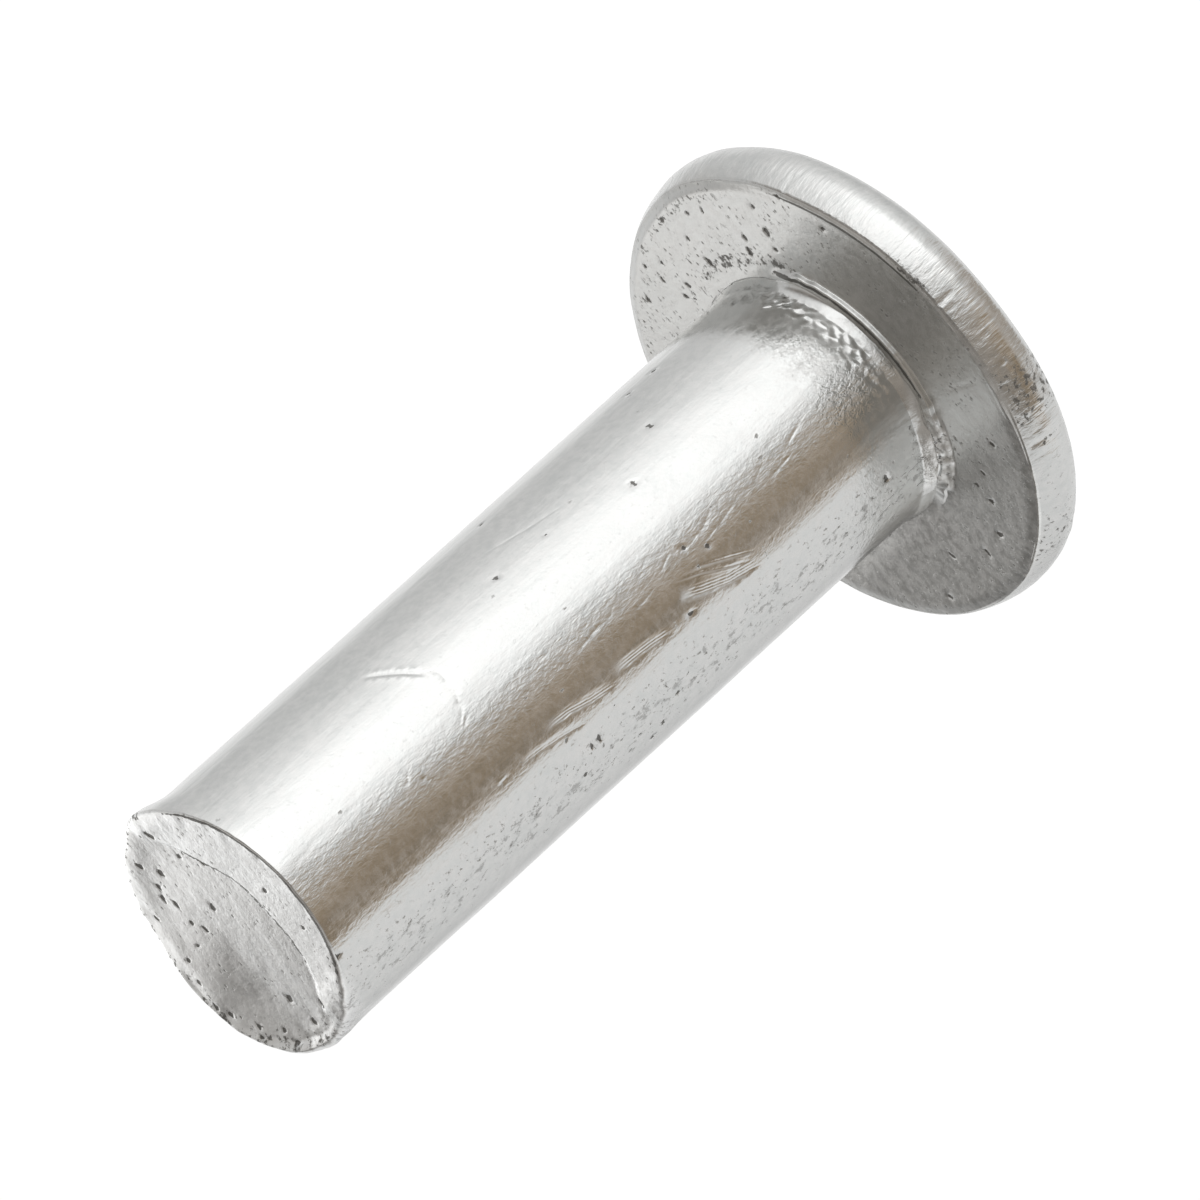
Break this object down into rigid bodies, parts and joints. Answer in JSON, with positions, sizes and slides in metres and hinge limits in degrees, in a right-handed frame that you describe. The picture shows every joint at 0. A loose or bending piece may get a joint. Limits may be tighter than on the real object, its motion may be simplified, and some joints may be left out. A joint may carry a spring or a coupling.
{
  "type": "brake lining rivet",
  "caption": "Solid aluminium rivet with a thin flat head and a plain round shank, for clamping a friction lining to its shoe or disc.",
  "frame": {"origin": "centre of the flat head's outer face, on which the rivet stands", "axes": "+Z along the shank from the head to the cropped end, -Y towards the side that the camera looks at"},
  "size_m": [0.015, 0.015, 0.027],
  "materials": {
    "bare_aluminium": "cold headed and tumbled bright, with fine drawing lines, handling scratches and small dark pits"
  },
  "bodies": {
    "root": {"rivet": "bare_aluminium"}
  },
  "joints": []
}
